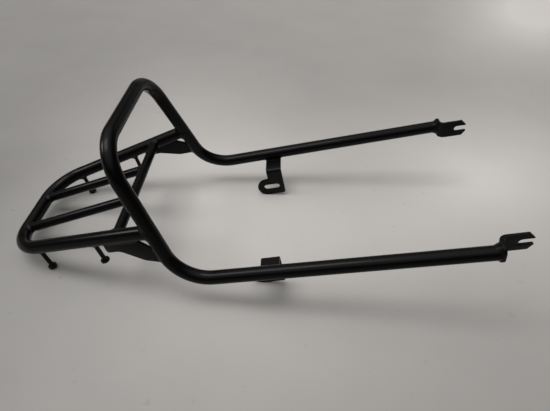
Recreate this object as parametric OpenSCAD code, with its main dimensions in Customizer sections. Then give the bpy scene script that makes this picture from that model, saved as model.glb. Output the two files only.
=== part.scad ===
// Rear luggage rack of a motorcycle, welded from bent steel tube, flat bar and round bar.
// One long tube makes both arms and the upright hoop; a second one makes the sides and
// the rear of the deck. X points forward along the bike, Y to its left and Z up, and the
// rack stands on its two arm tabs and its two rear pegs, as it does on a table.
// Lengths are in millimetres, angles in degrees.

/* [Tubes] */
// Outside diameter of the hoop tube and of the deck's side tube
tube_d = 22; // [20:1:25]
// Wall of those two tubes
tube_wall = 2; // [1:0.25:3]
// Outside diameter of the deck's cross tube and rods
rod_d = 16; // [12:1:18]
// Wall of the cross tube and rods
rod_wall = 1.5; // [1:0.25:2.5]
// Gap left between a coped tube end and the tube that it is welded to
cope_gap = 0.1; // [0.05:0.05:0.3]

/* [Hoop and arms] */
// Length of an arm, from the hoop's lower corner to the fork bracket
arm_length = 461; // [420:1:520]
// Distance between the arms' centre lines at the hoop's lower corners
arm_span_rear = 302; // [290:1:320]
// Distance between the arms' centre lines at the fork brackets
arm_span_front = 328; // [318:1:345]
// Height of the hoop's top bar above the arms, between centre lines
hoop_height = 222; // [190:1:260]
// How far the top bar lies behind the lower corners
hoop_lean = 39; // [20:1:60]
// Width of the hoop at its top corners, between the legs' centre lines
hoop_top_width = 227; // [200:1:250]
// Bend radius of the lower corners, at the tube's centre line
arm_bend_r = 64; // [50:1:70]
// Bend radius of the hoop's top corners
hoop_bend_r = 60; // [45:1:70]

/* [Deck] */
// Height of the deck above the arms where it meets the hoop's legs
deck_front_height = 94; // [90:1:115]
// Height of the deck's rear tube above the arms
deck_rear_height = 51; // [40:1:70]
// Distance from the hoop's lower corners back to the deck's rear tube
deck_reach = 286; // [260:1:330]
// Width of the deck at its rear corners, between the side tubes' centre lines
deck_rear_width = 181; // [170:1:200]
// Bend radius of the deck's rear corners
deck_bend_r = 61; // [45:1:65]
// Distance from the hoop's lower corners back to the cross tube
cross_back = 76; // [72:1:90]
// Distance from the deck's rear corners in to the inner rods, between centre lines
rod_inset = 50.5; // [47:0.5:60]

/* [Fork brackets] */
// Distance from an arm's centre line in to the mid-plane of its fork plate
fork_inset = 16; // [13.5:0.5:18]
// Thickness of the brackets' flat bar
fork_t = 5; // [4:0.5:6]
// Height of the flat bar
fork_height = 31; // [27:1:36]
// Length of the fork plate, from the tube's end to its tips
fork_reach = 51; // [46:1:60]
// Width of the open slot
slot_w = 11; // [8:0.5:12]
// Depth of the open slot, from the tips to its round end
slot_depth = 22; // [18:1:24]
// Inside radius of the bracket's bend
fork_bend_r = 7; // [3:0.5:8]
// Length of the bevel on the front corners
bevel_x = 8; // [5:0.5:10]
// Height of the bevel on the front corners
bevel_z = 9.5; // [6:0.5:10]

/* [Arm tabs] */
// Distance between the mid-planes of the two tab plates
tab_span = 228; // [220:1:240]
// Distance from the hoop's lower corners forward to the middle of the tabs
tab_forward = 137; // [125:1:160]
// Width of the tab's flat bar
tab_w = 30; // [26:1:36]
// Thickness of the tab's plate
tab_t = 4; // [3:0.5:5]
// Distance from the arm's centre line down to the tab's lower edge
tab_drop = 71; // [65:1:80]
// Radius of the tab's round rear end
tab_foot_r = 19; // [17:0.5:21]
// Distance from the middle of the bar back to the centre of the round end
tab_foot_back = 20; // [16:1:24]
// Width of the tab's slot
tab_slot_w = 12; // [8:0.5:13]
// Whole length of the tab's slot
tab_slot_l = 32; // [24:1:34]
// Inside radius of the tab's bend
tab_bend_r = 3; // [2:0.5:5]
// Radius of the tab's lower front corner
tab_corner_r = 5; // [2:1:8]
// How far the tab's bar reaches past the arm's centre line
tab_past = 3; // [2:0.5:6]
// How deep the arm is let into the tab's bar
tab_let_in = 0.8; // [0.4:0.1:1.2]

/* [Bungee pegs] */
// Distance from the hoop's lower corners back to the front pegs
peg_front_back = 123; // [121:1:130]
// Distance from the hoop's lower corners back to the rear pegs
peg_rear_back = 234; // [200:1:238]
// Diameter of a peg's shaft
peg_d = 7; // [5:0.5:8]
// Distance from the side tube's centre line down to the peg's end
peg_length = 49; // [42:1:55]
// Diameter of the peg's head
peg_head_d = 14; // [11:0.5:16]
// Thickness of the peg's head
peg_head_t = 4.5; // [3:0.5:6]
// Bevel round the peg's head
peg_bevel = 1; // [0.5:0.25:1.25]

/* [Gussets] */
// Thickness of a gusset plate
gusset_t = 4; // [3:0.5:5]
// How far the plate lies outside the tubes' centre lines
gusset_out = 2; // [0:0.5:3]
// Length of the gusset along the side tube, from the leg's centre line
gusset_length = 92; // [80:1:96]
// Depth of the gusset's rear end below the side tube's centre line
gusset_end = 26; // [22:1:30]
// Depth of the gusset along the hoop's leg, below the side tube's centre line
gusset_depth = 55; // [50:1:60]
// Size of the corner clipped off at the joint, along both tubes from their centre lines
gusset_clip = 39; // [36:1:46]

/* [Welds] */
// Leg length of the fillet weld between the side tube and the hoop
rail_weld = 3.5; // [2:0.5:5]
// Leg length of the fillet welds on the cross tube and rods
rod_weld = 3.5; // [2:0.5:4]
// Leg length of the fillet welds on the pegs
peg_weld = 4; // [2:0.5:5]
// Leg length of the fillet welds on the gussets
gusset_weld = 3; // [2:0.5:3.5]
// Leg length of the fillet welds on the arm tabs
tab_weld = 3; // [2:0.5:4]
// Length of the fillet weld on the arm's end, behind the fork bracket
fork_weld = 8; // [4:0.5:12]
// How far the weld on the arm's end stays inside the edge of the fork bracket
fork_weld_in = 1; // [0.5:0.25:2]

/* [Hidden] */
$fn = 120;

steel = "#1a1a1b";
bead = "#202021";
tube_r = tube_d / 2;
rod_r = rod_d / 2;
peg_r = peg_d / 2;
over = 10;                       // what a cutting tool runs past its work
seam = 0.05;                     // a bend is drawn this much thicker than the straight tube
seam_reach = 0.3;                // how far the straight tube runs on inside a bend

// Centre lines of the left side, before the rack is laid down. The origin is midway
// between the hoop's lower corners, and the arms lie level.
arm_slope = (arm_span_front - arm_span_rear) / 2 / arm_length;
arm_end = [arm_length, arm_span_front / 2, 0];
arm_corner = [0, arm_span_rear / 2, 0];
arm_past_end = arm_end + [1, arm_slope, 0] * over;
hoop_corner = [-hoop_lean, hoop_top_width / 2, hoop_height];
deck_corner = [-deck_reach, deck_rear_width / 2, deck_rear_height];
deck_start = on_leg(deck_front_height);
cross_end = on_rail(-cross_back);
rod_front = [cross_end.x, deck_corner.y - rod_inset, cross_end.z];
rod_rear = [-deck_reach, deck_corner.y - rod_inset, deck_rear_height];
hoop_path = [arm_past_end, arm_corner, hoop_corner,
             flip(hoop_corner), flip(arm_corner), flip(arm_past_end)];
hoop_bends = [arm_bend_r, hoop_bend_r, hoop_bend_r, arm_bend_r];
deck_path = [deck_start, deck_corner, flip(deck_corner), flip(deck_start)];
deck_bends = [deck_bend_r, deck_bend_r];

// The gusset's own axes: back along the side tube, down square to it, and inward
leg_down = unit(arm_corner - hoop_corner);
gusset_u = unit(deck_corner - deck_start);
gusset_v = unit(leg_down - (leg_down * gusset_u) * gusset_u);

// Laid down, the rack touches the ground with the round ends of the tabs and with the
// rear edge of the rear pegs' heads. The tilt puts both at the same height.
tab_foot = [tab_forward - tab_foot_back, -tab_drop + tab_foot_r];
peg_edge = [-peg_rear_back - peg_head_d / 2 + peg_bevel, on_rail(-peg_rear_back).z - peg_length];
rest_run = tab_foot.x - peg_edge.x;
rest_rise = peg_edge[1] - tab_foot[1];
rest_tilt = atan2(rest_rise, rest_run) + asin(tab_foot_r / norm([rest_run, rest_rise]));
rest_lift = -(peg_edge.x * sin(rest_tilt) + peg_edge[1] * cos(rest_tilt));
rack_front = (arm_length + fork_reach) * cos(rest_tilt)
           + (fork_height / 2 - bevel_z) * sin(rest_tilt);
rack_rear = -deck_reach * cos(rest_tilt) - deck_rear_height * sin(rest_tilt) - tube_r;

function unit(v) = v / norm(v);
function on_leg(z) = arm_corner + (hoop_corner - arm_corner) * z / hoop_height;
function on_rail(x) = deck_start
    + (deck_corner - deck_start) * (x - deck_start.x) / (deck_corner.x - deck_start.x);
function on_arm(x) = [x, arm_span_rear / 2 + arm_slope * x, 0];
function flip(p) = [p.x, -p.y, p.z];

// How far the tube turns at a corner of its path, and how far from the corner the bend starts
function turn_at(path, i) = let (a = unit(path[i] - path[i - 1]), b = unit(path[i + 1] - path[i]))
    acos(a * b);
function setback(path, i, r) = r * tan(turn_at(path, i) / 2);

// Corners of a flat outline rounded with arcs: p holds [x, y, radius]
function rounded(p, steps = 8) = [for (i = [0 : len(p) - 1])
    let (q = [p[i].x, p[i].y], r = p[i].z,
         a = unit([p[(i + len(p) - 1) % len(p)].x, p[(i + len(p) - 1) % len(p)].y] - q),
         b = unit([p[(i + 1) % len(p)].x, p[(i + 1) % len(p)].y] - q),
         turn = 180 - acos(a * b),
         c = q + unit(a + b) * r / cos(turn / 2),
         s = sign(a.x * b.y - a.y * b.x),
         from = atan2(q.y + a.y * r * tan(turn / 2) - c.y, q.x + a.x * r * tan(turn / 2) - c.x))
    each r == 0 ? [q] : [for (k = [0 : steps])
        c + r * [cos(from - s * turn * k / steps), sin(from - s * turn * k / steps)]]];

// Lays the level rack down on its tabs and rear pegs
module laid_down()
    translate([-(rack_front + rack_rear) / 2, 0, rest_lift]) rotate([0, -rest_tilt, 0]) children();

// What is drawn for the left side, on the left or mirrored to the right
module side(name) if (name == "left") children(); else mirror([0, 1, 0]) children();

// Places a child's axes x, y and z along three given unit vectors at a point
module axes(x, y, z, at)
    multmatrix([for (i = [0 : 2]) [x[i], y[i], z[i], at[i]]]) children();

// Round bar from a to b
module bar(a, b, r1, r2 = undef)
    let (d = b - a, len = norm(d))
        translate(a) rotate([0, acos(d.z / len), atan2(d.y, d.x)])
            cylinder(h = len, r1 = r1, r2 = is_undef(r2) ? r1 : r2);

// One straight stretch, and one bend, of a tube of radius r that follows a path with a
// bend radius for each inner corner. bore is its inside radius, or 0 for solid bar. A bend
// is a hair thicker and the straight tube's ends reach into it, so each seam is a clean step.
module stretch(path, bends, i, r, bore = 0)
    let (along = unit(path[i + 1] - path[i]),
         from = i == 0 ? 0 : setback(path, i, bends[i - 1]) - seam_reach,
         to = i + 2 == len(path) ? 0 : setback(path, i + 1, bends[i]) - seam_reach,
         a = path[i] + from * along,
         b = path[i + 1] - to * along)
        difference() {
            bar(a, b, r);
            if (bore > 0) bar(a - along, b + along, bore);
        }

module bend(path, bends, i, r, bore = 0) {
    along = unit(path[i] - path[i - 1]);
    axle = unit(cross(along, path[i + 1] - path[i]));
    to_centre = cross(axle, along);
    start = path[i] - setback(path, i, bends[i - 1]) * along;
    axes(-to_centre, along, axle, start + to_centre * bends[i - 1])
        rotate_extrude(angle = turn_at(path, i), $fn = 180)
            translate([bends[i - 1], 0]) difference() {
                circle(r + seam);
                if (bore > 0) circle(bore - seam);
            }
}

module bent_tube(path, bends, r, wall) {
    for (i = [0 : len(path) - 2]) stretch(path, bends, i, r, r - wall);
    for (i = [1 : len(path) - 2]) bend(path, bends, i, r, r - wall);
}

// The left side's tubes as solid bar grown by g, which the neighbours are fitted to
module arm_form(g = 0) stretch(hoop_path, hoop_bends, 0, tube_r + g);
module arm_bend_form(g = 0) bend(hoop_path, hoop_bends, 1, tube_r + g);
module leg_form(g = 0) stretch(hoop_path, hoop_bends, 1, tube_r + g);
module rail_form(g = 0) stretch(deck_path, deck_bends, 0, tube_r + g);
module deck_bend_form(g = 0) bend(deck_path, deck_bends, 1, tube_r + g);
module rear_form(g = 0) stretch(deck_path, deck_bends, 1, tube_r + g);
module rail_line(g = 0) bar(deck_start, deck_corner, tube_r + g);
module rear_line(g = 0) bar(deck_corner, flip(deck_corner), tube_r + g);
module cross_form(g = 0) bar(cross_end, flip(cross_end), rod_r + g);

module hoop_tube() color(steel) difference() {
    bent_tube(hoop_path, hoop_bends, tube_r, tube_wall);
    // the arms' ends are sawn square to the bike
    translate([arm_length, -arm_span_front, -fork_height])
        cube([2 * over, 2 * arm_span_front, 2 * fork_height]);
}

module deck_side_tube() color(steel) difference() {
    bent_tube(deck_path, deck_bends, tube_r, tube_wall);
    leg_form(cope_gap);
    mirror([0, 1, 0]) leg_form(cope_gap);
}

module cross_tube() color(steel) difference() {
    bar(cross_end, flip(cross_end), rod_r);
    bar(cross_end, flip(cross_end), rod_r - rod_wall);
    rail_form(cope_gap);
    mirror([0, 1, 0]) rail_form(cope_gap);
}

module deck_rod() color(steel) difference() {
    bar(rod_front, rod_rear, rod_r);
    bar(rod_front, rod_rear, rod_r - rod_wall);
    cross_form(cope_gap);
    rear_form(cope_gap);
    deck_bend_form(cope_gap);
}

// Plate between side tube and leg: a clipped corner at the joint, a short round rear end
// and a lower edge that sweeps down to the leg
module gusset_blank(t, out = gusset_out) {
    root = tube_r / 2;               // how deep the blank runs into the tubes before it is coped
    slope_top = 0.75 * gusset_length;
    slope_foot = 0.36 * gusset_length;
    axes(gusset_u, gusset_v, cross(gusset_u, gusset_v), deck_start)
        translate([0, 0, -out]) linear_extrude(t, center = true)
            polygon(rounded([[gusset_clip - root, root, 0],
                             [gusset_length - 1, root, 0],
                             [gusset_length, gusset_end, 5],
                             [slope_top, gusset_end - 0.5, 25],
                             [slope_foot, gusset_depth - 7, 25],
                             [root / 2, gusset_depth, 0],
                             [root, gusset_clip - root, 0]]));
}

module gusset() color(steel) difference() {
    gusset_blank(gusset_t);
    leg_form();
    arm_bend_form();
    rail_form();
}

// Flat bar bent square: one leg closes the arm's end, the other runs forward as the fork
module fork_bracket() {
    plate_y = -fork_inset - fork_t / 2;                  // inner face, from the arm's centre line
    turn_r = fork_bend_r + fork_t;
    color(steel) translate(arm_end) difference() {
        linear_extrude(fork_height, center = true) {
            translate([0, plate_y + turn_r]) square([fork_t, tube_r - plate_y - turn_r]);
            translate([turn_r, plate_y]) square([fork_reach - turn_r, fork_t]);
            translate([turn_r, plate_y + turn_r]) intersection() {
                difference() { circle(turn_r); circle(fork_bend_r); }
                translate([-turn_r, -turn_r]) square(turn_r);
            }
        }
        // open slot with a round end
        translate([fork_reach - slot_depth + slot_w / 2, plate_y - over, 0]) {
            rotate([-90, 0, 0]) cylinder(h = fork_t + 2 * over, d = slot_w);
            translate([0, 0, -slot_w / 2]) cube([slot_depth, fork_t + 2 * over, slot_w]);
        }
        for (up = [0, 1]) mirror([0, 0, up]) {
            // bevelled front corners
            translate([fork_reach, plate_y + fork_t + over, fork_height / 2])
                rotate([90, 0, 0]) linear_extrude(fork_t + 2 * over)
                    polygon([[-bevel_x, 0], [0, -bevel_z], [over, -bevel_z], [over, over],
                             [-bevel_x, over]]);
            // outer corners rounded like the tube
            translate([-over, 0, fork_height / 2 - tube_r]) difference() {
                cube([fork_t + 2 * over, tube_r + over, tube_r + over]);
                rotate([0, 90, 0]) cylinder(h = fork_t + 2 * over, r = tube_r);
            }
        }
    }
}

// Flat bar welded under the arm, bent down to a slotted foot
tab_top = -tube_r + tab_let_in;
tab_y = tab_span / 2 - tab_t / 2;                        // inner face of the upright plate
module tab_blank() {
    turn_r = tab_bend_r + tab_t;
    foot_z = -tab_drop + tab_foot_r;
    front = tab_forward + tab_w / 2;
    // bar under the arm, and its bend
    translate([tab_forward - tab_w / 2, 0, 0]) {
        translate([0, tab_y + turn_r, tab_top - tab_t])
            cube([tab_w, on_arm(tab_forward).y + tab_past - tab_y - turn_r, tab_t]);
        translate([0, tab_y + turn_r, tab_top - turn_r]) rotate([0, 90, 0]) intersection() {
            difference() {
                cylinder(h = tab_w, r = turn_r);
                translate([0, 0, -over]) cylinder(h = tab_w + 2 * over, r = tab_bend_r);
            }
            translate([-turn_r, -turn_r, 0]) cube([turn_r, turn_r, tab_w]);
        }
    }
    // upright plate with the foot's round end behind it
    translate([0, tab_y + tab_t, 0]) rotate([90, 0, 0]) linear_extrude(tab_t) difference() {
        union() {
            translate([front - tab_w, foot_z]) square([tab_w, tab_top - turn_r - foot_z]);
            translate([tab_foot.x, foot_z]) circle(tab_foot_r);
            translate([tab_foot.x, -tab_drop + tab_corner_r])
                square([front - tab_foot.x, 2 * tab_foot_r - tab_corner_r]);
            translate([tab_foot.x, -tab_drop])
                square([front - tab_corner_r - tab_foot.x, tab_corner_r]);
            translate([front - tab_corner_r, -tab_drop + tab_corner_r]) circle(tab_corner_r);
        }
        for (x = [0, tab_slot_l - tab_slot_w])
            translate([tab_foot.x + x, foot_z]) circle(d = tab_slot_w);
        translate([tab_foot.x, foot_z - tab_slot_w / 2]) square([tab_slot_l - tab_slot_w, tab_slot_w]);
    }
}

module arm_tab() color(steel) difference() {
    tab_blank();
    arm_form();
}

// Headed peg that hangs from the side tube
module peg(x) color(steel) difference() {
    union() {
        bar(on_rail(x), on_rail(x) - [0, 0, peg_length - peg_head_t], peg_r);
        translate(on_rail(x) - [0, 0, peg_length]) {
            cylinder(h = peg_bevel, r1 = peg_head_d / 2 - peg_bevel, r2 = peg_head_d / 2);
            translate([0, 0, peg_bevel]) cylinder(h = peg_head_t - 2 * peg_bevel, d = peg_head_d);
            translate([0, 0, peg_head_t - peg_bevel])
                cylinder(h = peg_bevel, r1 = peg_head_d / 2, r2 = peg_head_d / 2 - peg_bevel);
        }
    }
    rail_form();
    deck_bend_form();
}

// Ring of fillet weld round a bar of radius r that stands on a tube of radius host_r. It
// starts inside that tube and is then trimmed to the tube's surface.
module fillet(from, towards, r, host_r, leg) {
    d = towards - from;
    rise = 0.85 * leg;
    start = 0.4 * host_r;
    translate(from) rotate([0, acos(d.z / norm(d)), atan2(d.y, d.x)]) rotate_extrude()
        polygon([[r, start], [r + rise, start], [r + rise, host_r], [r, host_r + leg]]);
}

module weld_rail() color(bead) difference() {
    intersection() {
        leg_form(rail_weld);
        fillet(deck_start, deck_corner, tube_r, tube_r, rail_weld);
    }
    leg_form();
}

module weld_cross() color(bead) difference() {
    intersection() {
        rail_line(rod_weld);
        fillet(cross_end, flip(cross_end), rod_r, tube_r, rod_weld);
    }
    rail_form();
}

module weld_rod_front() color(bead) difference() {
    intersection() {
        cross_form(rod_weld);
        fillet(rod_front, rod_rear, rod_r, rod_r, rod_weld);
    }
    cross_form();
}

module weld_rod_rear() color(bead) difference() {
    intersection() {
        rear_line(rod_weld);
        fillet(rod_rear, rod_front, rod_r, tube_r, rod_weld);
    }
    rear_form();
    deck_bend_form();
}

module weld_peg(x) color(bead) difference() {
    intersection() {
        rail_line(peg_weld);
        fillet(on_rail(x), on_rail(x) - [0, 0, peg_length], peg_r, tube_r, peg_weld);
    }
    rail_form();
    deck_bend_form();
}

// Block in the gusset's axes, from u0, v0 to u1, v1, as wide as the plate and its welds
module gusset_strip(u0, v0, u1, v1)
    axes(gusset_u, gusset_v, cross(gusset_u, gusset_v), deck_start)
        translate([u0, v0, -gusset_out - gusset_t / 2 - gusset_weld])
            cube([u1 - u0, v1 - v0, gusset_t + 2 * gusset_weld]);

module weld_gusset_rail() color(bead) difference() {
    intersection() {
        rail_form(gusset_weld);
        gusset_strip(gusset_clip - tube_r - gusset_weld, 0, gusset_length + gusset_weld, 2 * tube_r);
    }
    rail_form();
    gusset_blank(gusset_t);
}

module weld_gusset_leg() color(bead) difference() {
    intersection() {
        union() {
            leg_form(gusset_weld);
            arm_bend_form(gusset_weld);
        }
        gusset_strip(0, gusset_clip - tube_r - gusset_weld, 2 * tube_r, gusset_depth + gusset_weld);
    }
    leg_form();
    arm_bend_form();
    gusset_blank(gusset_t);
}

// Cone of weld behind the plate that closes the arm's end, kept inside that plate's edge.
// The tube reaches the plate's outer edge, so the weld runs round its other three sides.
module weld_fork() {
    rise = (fork_height / 2 - tube_r) / fork_weld;
    corner = fork_height / 2 - tube_r;
    edge = tube_r - fork_weld_in;
    color(bead) difference() {
        intersection() {
            bar(on_arm(arm_length - fork_weld - over), arm_past_end,
                tube_r - rise * over, tube_r + rise * (fork_weld + over));
            translate([0, arm_end.y, 0]) {
                for (up = [-1, 1]) translate([0, 0, up * corner]) rotate([0, 90, 0])
                    cylinder(h = arm_length, r = edge);
                translate([0, 0, -corner]) cube([arm_length, edge, 2 * corner]);
                translate([0, -fork_height, -corner - edge])
                    cube([arm_length, fork_height, 2 * (corner + edge)]);
            }
        }
        arm_form();
    }
}

module weld_tab() color(bead) difference() {
    intersection() {
        arm_form(tab_weld);
        translate([tab_forward - tab_w / 2 - tab_weld, tab_y + tab_t, tab_top - tab_t])
            cube([tab_w + 2 * tab_weld,
                  on_arm(tab_forward).y + tab_past + tab_weld - tab_y - tab_t, tab_t + tab_weld]);
    }
    arm_form();
    tab_blank();
}

laid_down() hoop_tube();
laid_down() deck_side_tube();
laid_down() cross_tube();
laid_down() side("left") deck_rod();  // rod_left
laid_down() side("right") deck_rod();  // rod_right
laid_down() side("left") gusset();  // gusset_left
laid_down() side("right") gusset();  // gusset_right
laid_down() side("left") fork_bracket();  // fork_bracket_left
laid_down() side("right") fork_bracket();  // fork_bracket_right
laid_down() side("left") arm_tab();  // arm_tab_left
laid_down() side("right") arm_tab();  // arm_tab_right
laid_down() side("left") peg(-peg_front_back);  // peg_front_left
laid_down() side("right") peg(-peg_front_back);  // peg_front_right
laid_down() side("left") peg(-peg_rear_back);  // peg_rear_left
laid_down() side("right") peg(-peg_rear_back);  // peg_rear_right
laid_down() side("left") weld_rail();  // weld_rail_left
laid_down() side("right") weld_rail();  // weld_rail_right
laid_down() side("left") weld_cross();  // weld_cross_left
laid_down() side("right") weld_cross();  // weld_cross_right
laid_down() side("left") weld_rod_front();  // weld_rod_front_left
laid_down() side("right") weld_rod_front();  // weld_rod_front_right
laid_down() side("left") weld_rod_rear();  // weld_rod_rear_left
laid_down() side("right") weld_rod_rear();  // weld_rod_rear_right
laid_down() side("left") weld_gusset_rail();  // weld_gusset_rail_left
laid_down() side("right") weld_gusset_rail();  // weld_gusset_rail_right
laid_down() side("left") weld_gusset_leg();  // weld_gusset_leg_left
laid_down() side("right") weld_gusset_leg();  // weld_gusset_leg_right
laid_down() side("left") weld_fork();  // weld_fork_left
laid_down() side("right") weld_fork();  // weld_fork_right
laid_down() side("left") weld_tab();  // weld_tab_left
laid_down() side("right") weld_tab();  // weld_tab_right
laid_down() side("left") weld_peg(-peg_front_back);  // weld_peg_front_left
laid_down() side("right") weld_peg(-peg_front_back);  // weld_peg_front_right
laid_down() side("left") weld_peg(-peg_rear_back);  // weld_peg_rear_left
laid_down() side("right") weld_peg(-peg_rear_back);  // weld_peg_rear_right
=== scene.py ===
# %% [markdown]
# # A welded luggage rack in satin black
#
# The real rack is bent steel tube, flat bar and round bar, welded together and powder
# coated. Its looks come from three things: true round tubes with clean bends, small
# weld beads where the pieces meet, and a satin coat with a fine skin that breaks up
# every highlight a little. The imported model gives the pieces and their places. This
# script lays smooth surfaces over the tubes, plates and pegs, lays a rippled bead along
# each joint, and finishes everything with coats made of shader nodes.

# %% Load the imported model
import math

import bmesh
import bpy
import numpy as np
from mathutils import Matrix, Vector
from mathutils.geometry import tessellate_polygon


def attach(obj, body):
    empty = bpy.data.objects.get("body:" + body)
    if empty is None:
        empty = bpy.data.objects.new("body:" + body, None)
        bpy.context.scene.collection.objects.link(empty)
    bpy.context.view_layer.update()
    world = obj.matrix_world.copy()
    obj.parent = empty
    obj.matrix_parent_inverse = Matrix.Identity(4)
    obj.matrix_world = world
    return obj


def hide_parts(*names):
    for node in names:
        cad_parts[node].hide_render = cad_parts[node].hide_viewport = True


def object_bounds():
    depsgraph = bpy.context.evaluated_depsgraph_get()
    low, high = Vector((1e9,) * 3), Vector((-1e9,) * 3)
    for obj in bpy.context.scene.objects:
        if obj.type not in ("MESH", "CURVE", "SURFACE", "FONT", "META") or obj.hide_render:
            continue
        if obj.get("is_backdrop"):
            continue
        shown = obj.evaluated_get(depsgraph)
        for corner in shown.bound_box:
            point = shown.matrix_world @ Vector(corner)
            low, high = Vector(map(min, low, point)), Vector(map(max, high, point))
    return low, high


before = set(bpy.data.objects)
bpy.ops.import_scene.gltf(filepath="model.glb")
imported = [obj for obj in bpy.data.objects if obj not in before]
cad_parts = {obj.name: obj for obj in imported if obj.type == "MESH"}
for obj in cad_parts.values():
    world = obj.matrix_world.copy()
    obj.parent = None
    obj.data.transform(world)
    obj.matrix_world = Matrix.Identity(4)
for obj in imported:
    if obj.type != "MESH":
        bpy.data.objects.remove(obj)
cad_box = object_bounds()
MM = 0.001
print("nodes in the model:", len(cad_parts))

# %% [markdown]
# ## The rack's driving sizes
#
# A fabricator works from a few figures: where the corners of each tube's centre line
# lie and how tight the bends are. The same figures are written here in millimetres, in
# the position in which the rack is drawn, with its arms level. Writing them once and
# working everything out from them keeps each surface on the tube that carries it.

# %% Driving sizes
# Thick tube, thin tube, and the gap between a coped end and the tube that carries it
TUBE_R, TUBE_WALL = 11.0, 2.0
ROD_R, ROD_WALL = 8.0, 1.5
COPE_GAP = 0.1

# The arms' distance apart is given at the hoop's lower corners and at the fork brackets
ARM_LENGTH = 461.0
ARM_SPAN = (302.0, 328.0)
HOOP_HEIGHT, HOOP_LEAN, HOOP_TOP_WIDTH = 222.0, 39.0, 227.0
ARM_BEND_R, HOOP_BEND_R = 64.0, 60.0

# The deck's height above the arms is given at the hoop's legs and at the rear tube
DECK_HEIGHT = (94.0, 51.0)
DECK_REACH, DECK_REAR_WIDTH, DECK_BEND_R = 286.0, 181.0, 61.0
CROSS_BACK, ROD_SPAN = 76.0, 80.0

# The pegs' distance back from the hoop's lower corners, and their own sizes
PEG_BACK = {"front": 123.0, "rear": 234.0}
PEG_R, PEG_LENGTH, PEG_HEAD_R, PEG_HEAD_T = 3.5, 49.0, 7.0, 4.5

# The left side is drawn, and its y changes sign on the right
SIDES = (("left", 1.0), ("right", -1.0))

# %% Corners of the centre lines
def unit(v):
    """v divided by its length, along the last axis."""
    v = np.asarray(v, float)
    return v / np.linalg.norm(v, axis=-1, keepdims=True)


def mirrored(points):
    """The same points on the other side of the rack's middle plane, y = 0."""
    return np.asarray(points, float) * (1.0, -1.0, 1.0)


ARM_END = np.array((ARM_LENGTH, ARM_SPAN[1] / 2, 0.0))
ARM_CORNER = np.array((0.0, ARM_SPAN[0] / 2, 0.0))
HOOP_CORNER = np.array((-HOOP_LEAN, HOOP_TOP_WIDTH / 2, HOOP_HEIGHT))
DECK_START = ARM_CORNER + (HOOP_CORNER - ARM_CORNER) * DECK_HEIGHT[0] / HOOP_HEIGHT
DECK_CORNER = np.array((-DECK_REACH, DECK_REAR_WIDTH / 2, DECK_HEIGHT[1]))


def on_rail(x):
    """The point of the deck side's centre line at x, by linear interpolation."""
    share = (x - DECK_START[0]) / (DECK_CORNER[0] - DECK_START[0])
    return DECK_START + (DECK_CORNER - DECK_START) * share


CROSS_END = on_rail(-CROSS_BACK)
ROD_FRONT = np.array((CROSS_END[0], ROD_SPAN / 2, CROSS_END[2]))
ROD_REAR = np.array((-DECK_REACH, ROD_SPAN / 2, DECK_HEIGHT[1]))

# %% [markdown]
# ## Laying the rack down
#
# A rack that is put on a table comes to rest on the round ends of its two arm tabs and
# on the heads of its two rear pegs. The drawing position is turned about Y by the angle
# that puts both at the same height: the tangent from a point, the edge of the peg's
# head, to a circle, the tab's round end.

# %% Rest position
# Middle of a tab's round end, as x and z
TAB_FOOT = np.array((117.0, -52.0))
TAB_FOOT_R = 19.0
PEG_BEVEL = 1.0
FORK_REACH, FORK_HEIGHT, FORK_BEVEL = 51.0, 31.0, (8.0, 9.5)

peg_edge = np.array((-PEG_BACK["rear"] - PEG_HEAD_R + PEG_BEVEL, on_rail(-PEG_BACK["rear"])[2] - PEG_LENGTH))
run, rise = TAB_FOOT[0] - peg_edge[0], peg_edge[1] - TAB_FOOT[1]
rest_tilt = math.atan2(rise, run) + math.asin(TAB_FOOT_R / math.hypot(run, rise))
tilt_cos, tilt_sin = math.cos(rest_tilt), math.sin(rest_tilt)
rest_lift = -(peg_edge[0] * tilt_sin + peg_edge[1] * tilt_cos)
rack_front = (ARM_LENGTH + FORK_REACH) * tilt_cos + (FORK_HEIGHT / 2 - FORK_BEVEL[1]) * tilt_sin
rack_rear = -DECK_REACH * tilt_cos - DECK_HEIGHT[1] * tilt_sin - TUBE_R
LAY = np.array(((tilt_cos, 0, -tilt_sin), (0, 1, 0), (tilt_sin, 0, tilt_cos)))
SHIFT = np.array((-(rack_front + rack_rear) / 2, 0, rest_lift))


def laid_down(points):
    """Turns points by the rest tilt about Y and moves them to the rack's origin, in metres."""
    return (np.asarray(points, float) @ LAY.T + SHIFT) * MM


print("rest tilt in degrees:", round(math.degrees(rest_tilt), 2))

# %% [markdown]
# ## Surfaces as grids of points
#
# Every new surface here is a grid: rows along the piece and columns round it, worked
# out as one array. One helper joins a grid's points into four-sided faces, round the
# piece and, where it has no ends, along it too. Another turns arrays into a piece of the
# model, flips it if its volume comes out negative, and makes it ride on the rack.

# %% Grid to faces
def grid_faces(rows, cols, close_rows=False, first=0):
    """Quads of a rows by cols grid of points that are numbered from first. Its last
    column joins its first, and its last row does too where the rows are closed."""
    r, c = np.meshgrid(np.arange(rows if close_rows else rows - 1), np.arange(cols), indexing="ij")
    r2, c2 = (r + 1) % rows, (c + 1) % cols
    quads = np.stack([r * cols + c, r2 * cols + c, r2 * cols + c2, r * cols + c2], -1)
    return quads.reshape(-1, 4) + first


def signed_volume(verts, quads):
    """Sum of the volumes of the wedges from the origin to each face's two triangles:
    positive where the faces point outwards."""
    a, b, c, d = (verts[quads[:, k]] for k in range(4))
    wedge = np.einsum("ij,ij->i", a, np.cross(b, c)) + np.einsum("ij,ij->i", a, np.cross(c, d))
    return wedge.sum() / 6.0


# %% Piece from a closed grid
# The pieces made so far, by slot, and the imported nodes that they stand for
PIECES = {}


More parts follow.
